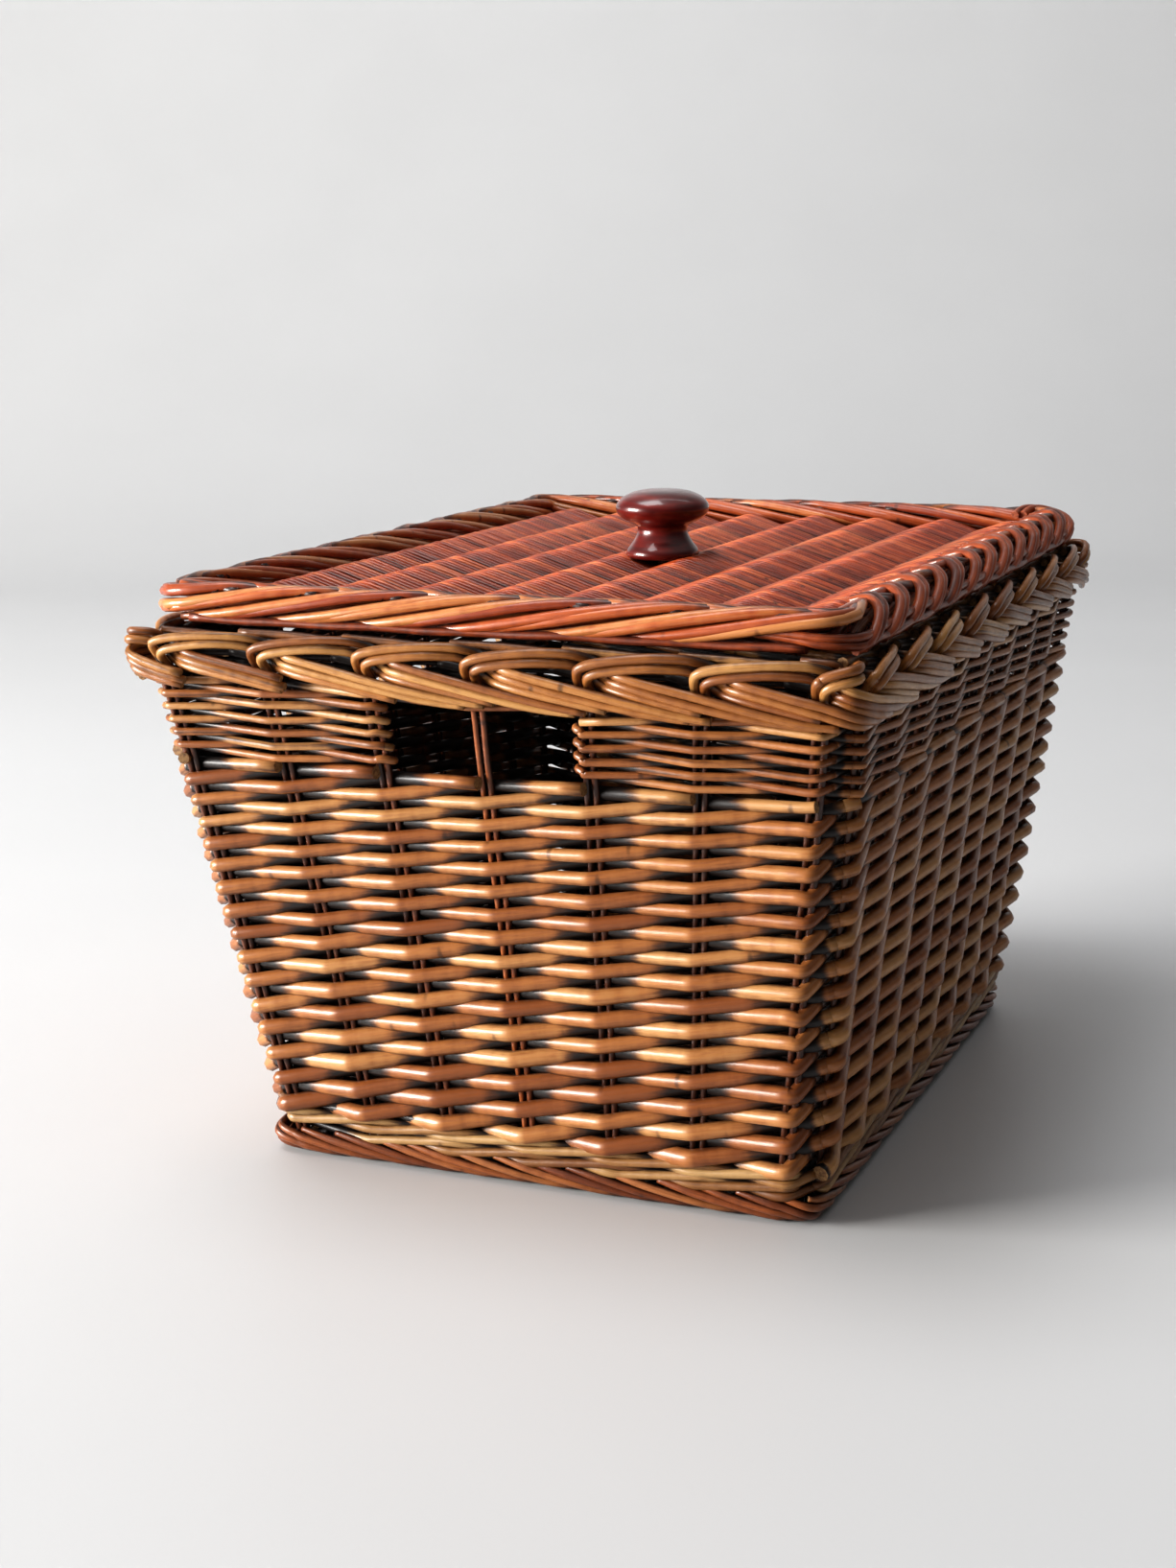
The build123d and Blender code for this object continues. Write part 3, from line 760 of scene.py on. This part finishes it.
def edge_points(s, v, z):
    """Points round the lid's edge: s runs anticlockwise from the front left corner, v is out."""
    s = s % LAP
    starts = np.concatenate([[0], np.cumsum(STRETCHES)])
    x, y, angle = np.zeros(len(s)), np.zeros(len(s)), np.zeros(len(s))
    for index, length in enumerate(STRETCHES):
        part = (s >= starts[index]) & (s <= starts[index + 1])
        share = (s[part] - starts[index]) / length
        side = index // 2
        facing = (side - 1) * math.pi / 2
        centre_x = EDGE_CORNERS[side][0] * (EDGE_X - EDGE_ROUND)
        centre_y = EDGE_CORNERS[side][1] * (EDGE_Y - EDGE_ROUND)
        is_bend = index % 2 == 1
        angle[part] = facing + (share * math.pi / 2 if is_bend else 0)
        back = 0 if is_bend else (1 - share) * length
        x[part] = centre_x + math.sin(facing) * back + EDGE_ROUND * np.cos(angle[part])
        y[part] = centre_y - math.cos(facing) * back + EDGE_ROUND * np.sin(angle[part])
    return np.stack([x + v * np.cos(angle), y + v * np.sin(angle), z], -1)


# Rows are (along, angle from level, share of the edge's half width).
UNITS = 34
UNIT = LAP / UNITS
WOUND = ((0, -62, 0.95), (10, -46, 1), (32, -16, 1), (58, 22, 1), (82, 58, 1), (102, 90, 0.98), (118, 118, 0.8))
edge_bundles = {wall: Bundle(0.35) for wall in WALLS}
EDGE_BOUNDS = np.cumsum((STRAIGHT_X + BEND, STRAIGHT_Y + BEND) * 2)
for unit in range(UNITS):
    for family in (1, -1):
        for rod in range(2):
            path = spread(WOUND, 4)
            start = unit * UNIT + rod * 9 + (0 if family > 0 else UNIT / 2) + chance.uniform(-2, 2)
            s = start + path[:, 0]
            turn = np.radians(path[:, 1])
            size = EDGE_HALF * path[:, 2] * (1 + waviness(s / 30, 0.05))
            points = edge_points(s, family * size * np.cos(turn), EDGE_Z + size * np.sin(turn))
            wall = WALLS[int(np.searchsorted(EDGE_BOUNDS, s[len(s) // 2] % LAP)) % 4]
            # Painted shade darkens the rods where they wind under the edge and over to its inner side.
            stain_and_shade = 0.9 * smooth_step((turn - 1.2) / 0.9) + 0.6 * smooth_step((-0.7 - turn) / 0.6)
            radius = EDGE_R * chance.uniform(1.0, 1.15) * np.interp(path[:, 0], (0, 25, 80, 118), (0.75, 1.05, 1.05, 0.85))
            if family < 0 or wall != "right":
                edge_bundles[wall].add(points, radius, stain_and_shade)

# On the right side, pairs of rods loop over the edge and end in cuts above the panel, and long
# rods run under the loops. Rows are (along, out, up).
LOOP = (
    (-14, 5.5, -7.5), (-6, 7.6, -4.5), (2, 8.0, 0.5), (9, 6.6, 5.0), (15, 2.6, 7.6), (19.5, -2.5, 7.8),
    (21.5, -7.5, 6.4), (22.5, -12.5, 4.8),
)
LOOP_PITCH, LOOP_GAP = 31.0, 6.0
LONG_RODS = ((7.0, -6.2), (6.4, -2.4), (-9.0, 1.6), (-12.8, 0.6))
loops = int(STRAIGHT_Y / LOOP_PITCH) + 1
right_start = STRAIGHT_X + BEND
for index in range(loops):
    for rod in range(2):
        path = spread(LOOP, 4)
        s = right_start + (index + 0.35) * LOOP_PITCH + rod * LOOP_GAP + chance.uniform(-1.5, 1.5) + path[:, 0]
        points = edge_points(s, path[:, 1], EDGE_Z + path[:, 2])
        points = points[: len(points) - chance.integers(0, 4)]
        edge_bundles["right"].add(points, EDGE_R * chance.uniform(1.0, 1.15), 0.3 * chance.random(), 0.7)
for out, up in LONG_RODS:
    s = np.linspace(right_start - 40, right_start + STRAIGHT_Y + 40, 90)
    inward = np.interp(s, (s[0], right_start, s[-1] - 40, s[-1]), (0.3, 1, 1, 0.3))
    points = edge_points(s, out * inward + waviness(s / 30, 0.6), EDGE_Z + up * inward + waviness(s / 30, 0.5))
    edge_bundles["right"].add(points, EDGE_R * 0.95, 0.25, 0.6)
for out, up in ((5.4, -6.6), (1.6, -7.0)):
    s = np.linspace(4, STRAIGHT_X - 4, 50)
    points = edge_points(s, out + waviness(s / 30, 0.5), EDGE_Z + up + waviness(s / 30, 0.4))
    edge_bundles["front"].add(points, EDGE_R * 0.95, 0.3, 0.7)
for wall in WALLS:
    skins = (edge_willow, red_cut)
    make_piece(f"lid_{wall}_plait", edge_bundles[wall], "lid", (f"lid_{wall}_edge",), skins)


# ---- Knob: a domed cap on a waisted stem ----
KNOB_PROFILE = spread((
    (0.0, 0.0), (12.0, 0.0), (16.4, 0.15), (17.4, 1.4), (17.5, 2.8), (16.9, 4.4), (15.4, 6.4), (13.6, 9.0),
    (12.3, 11.8), (12.0, 14.2), (13.0, 15.9), (15.6, 17.2), (18.8, 18.8), (21.2, 20.8), (22.4, 23.2),
    (22.2, 25.6), (20.6, 28.0), (17.4, 30.2), (12.8, 31.9), (7.0, 32.8), (0.0, 33.0),
), 4)
SEGMENTS = 72
turned = KNOB_PROFILE[1:-1]
angles = 2 * math.pi * np.arange(SEGMENTS) / SEGMENTS
knob_rings = np.stack([
    turned[:, None, 0] * np.cos(angles),
    turned[:, None, 0] * np.sin(angles),
    np.broadcast_to(turned[:, None, 1] + knob_low[2], (len(turned), SEGMENTS)),
], -1)
knob_bundle = Bundle(0)
knob_bundle.rods.append((knob_rings, np.zeros(len(turned)), np.zeros(len(turned)), turned[:, 1]))
knob_skin = lacquer()
make_piece("turned_knob", knob_bundle, "lid", ("knob",), (knob_skin, knob_skin))


# ---- CAD parts that stay: the knob's screw and washer, and the sticks of the lid and the base ----
def dress(node_name, material):
    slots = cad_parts[node_name].data.materials
    slots.clear()
    slots.append(material)


metal = steel()
dress("knob_screw", metal)
dress("knob_washer", metal)
dress("lid_sticks", plain_willow("lid_stick_willow", (0.2, 0.045, 0.02), (0.06, 0.015, 0.01)))
dress("base_sticks", plain_willow("base_stick_willow", (0.16, 0.06, 0.03), (0.05, 0.02, 0.012)))


# ---- Camera ----
YAW, PITCH, ROLL = 0.3995, 0.2161, -0.0135
forward = np.array((-math.sin(YAW) * math.cos(PITCH), math.cos(YAW) * math.cos(PITCH), -math.sin(PITCH)))
level = np.array((math.cos(YAW), math.sin(YAW), 0.0))
upward = np.cross(level, forward)
across = math.cos(ROLL) * level + math.sin(ROLL) * upward
upward = math.cos(ROLL) * upward - math.sin(ROLL) * level
pose = Matrix.Identity(4)
for column, axis in enumerate((across, upward, -forward)):
    for line in range(3):
        pose[line][column] = axis[line]
pose.translation = (0.4087, -1.0650, 0.3998)
camera_data = bpy.data.cameras.new("camera")
camera_data.lens = 54.13
camera_data.sensor_width = 36.0
camera = bpy.data.objects.new("camera", camera_data)
camera.matrix_world = pose
bpy.context.scene.collection.objects.link(camera)
bpy.context.scene.camera = camera


# ---- Stage: a pale floor that curves up into a backdrop behind the basket ----
def sweep_up(near, far, bend, height, steps):
    """Profile of floor and backdrop, as (distance back, height)."""
    arc = [(far + bend * math.sin(a), bend * (1 - math.cos(a))) for a in np.linspace(0, math.pi / 2, steps)]
    return [(near, 0.0)] + arc + [(far + bend, height)]


def paint(name, colour):
    material, tree, shader = new_material(name)
    haze = object_noise(tree, (3, 3, 3), 2.0)
    shade = tuple(0.975 * c for c in colour)
    tree.links.new(ramp(tree, haze, [(0.35, shade), (0.65, colour)]), shader.inputs["Base Color"])
    shader.inputs["Roughness"].default_value = 0.5
    return material


back = Vector((-math.sin(YAW), math.cos(YAW), 0))
sideways = Vector((math.cos(YAW), math.sin(YAW), 0))
profile = sweep_up(-30.0, 1.9, 1.6, 5.0, 24)
stage_verts = [back * run + sideways * x + Vector((0, 0, z)) for run, z in profile for x in (-20.0, 20.0)]
stage_faces = [(2 * i, 2 * i + 1, 2 * i + 3, 2 * i + 2) for i in range(len(profile) - 1)]
stage_mesh = bpy.data.meshes.new("backdrop")
stage_mesh.from_pydata(stage_verts, [], stage_faces)
stage_mesh.polygons.foreach_set("use_smooth", [True] * len(stage_faces))
stage_mesh.materials.append(paint("backdrop_paint", (0.62, 0.624, 0.63)))
backdrop = bpy.data.objects.new("backdrop", stage_mesh)
bpy.context.scene.collection.objects.link(backdrop)


# ---- Light: a window on the left, and a soft wash on the backdrop ----
def area_light(name, place, target, size, power, colour):
    data = bpy.data.lights.new(name, "AREA")
    data.shape = "RECTANGLE"
    data.size, data.size_y = size
    data.energy = power
    data.color = colour
    lamp = bpy.data.objects.new(name, data)
    lamp.location = place
    lamp.rotation_euler = (Vector(target) - Vector(place)).to_track_quat("-Z", "Y").to_euler()
    lamp.visible_camera = False
    bpy.context.scene.collection.objects.link(lamp)


area_light("window", (-2.7, -1.75, 0.66), (0, 0, 0.1), (1.6, 1.0), 240.0, (1.0, 0.975, 0.94))
area_light("skylight", (-0.5, -0.3, 2.1), (0, 0, 0), (1.1, 1.1), 21.0, (0.98, 0.985, 1.0))
area_light("backdrop_wash", (-0.2, 0.9, 2.6), (-1.4, 3.4, 1.0), (3.0, 0.8), 22.0, (0.97, 0.98, 1.0))

world = bpy.data.worlds.new("studio")
bpy.context.scene.world = world
world.use_nodes = True
sky = world.node_tree.nodes.new("ShaderNodeSeparateXYZ")
direction = world.node_tree.nodes.new("ShaderNodeTexCoord").outputs["Generated"]
world.node_tree.links.new(direction, sky.inputs[0])
overhead = ramp(world.node_tree, sky.outputs["Z"], [(0.0, 0.04), (0.4, 0.07), (1.0, 0.45)])
world.node_tree.links.new(overhead, world.node_tree.nodes["Background"].inputs["Color"])
bpy.context.scene.view_settings.view_transform = "Standard"
bpy.context.scene.view_settings.look = "Medium High Contrast"
